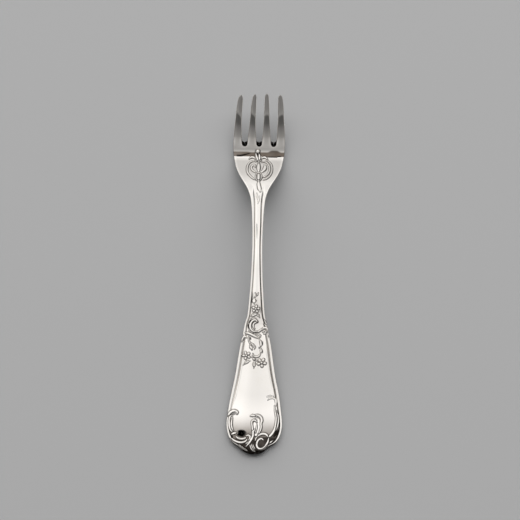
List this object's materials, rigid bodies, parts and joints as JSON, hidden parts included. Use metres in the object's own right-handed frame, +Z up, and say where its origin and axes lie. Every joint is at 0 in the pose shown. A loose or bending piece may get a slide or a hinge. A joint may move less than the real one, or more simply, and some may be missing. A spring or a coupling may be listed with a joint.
{
  "type": "baby fork",
  "caption": "Small silver-plated table fork with an arched stem, slotted tines and a broad handle edged with a raised thread and chased with scrolls, leaves and flowers.",
  "frame": {"origin": "on the table, under the middle of the fork's length and width, with the fork lying face up", "axes": "+Y along the fork from the handle to the tips, +Z up out of the fork's face, +X to the right seen from above with the tips away"},
  "size_m": [0.0234, 0.15, 0.0113],
  "materials": {
    "silver_plate": "polished silver plate, a little darkened in the hollows of the ornament"
  },
  "bodies": {
    "root": {"handle_blade": "silver_plate", "stem": "silver_plate", "neck": "silver_plate", "head": "silver_plate", "left_outer_tine": "silver_plate", "left_inner_tine": "silver_plate", "right_inner_tine": "silver_plate", "right_outer_tine": "silver_plate"}
  },
  "joints": []
}
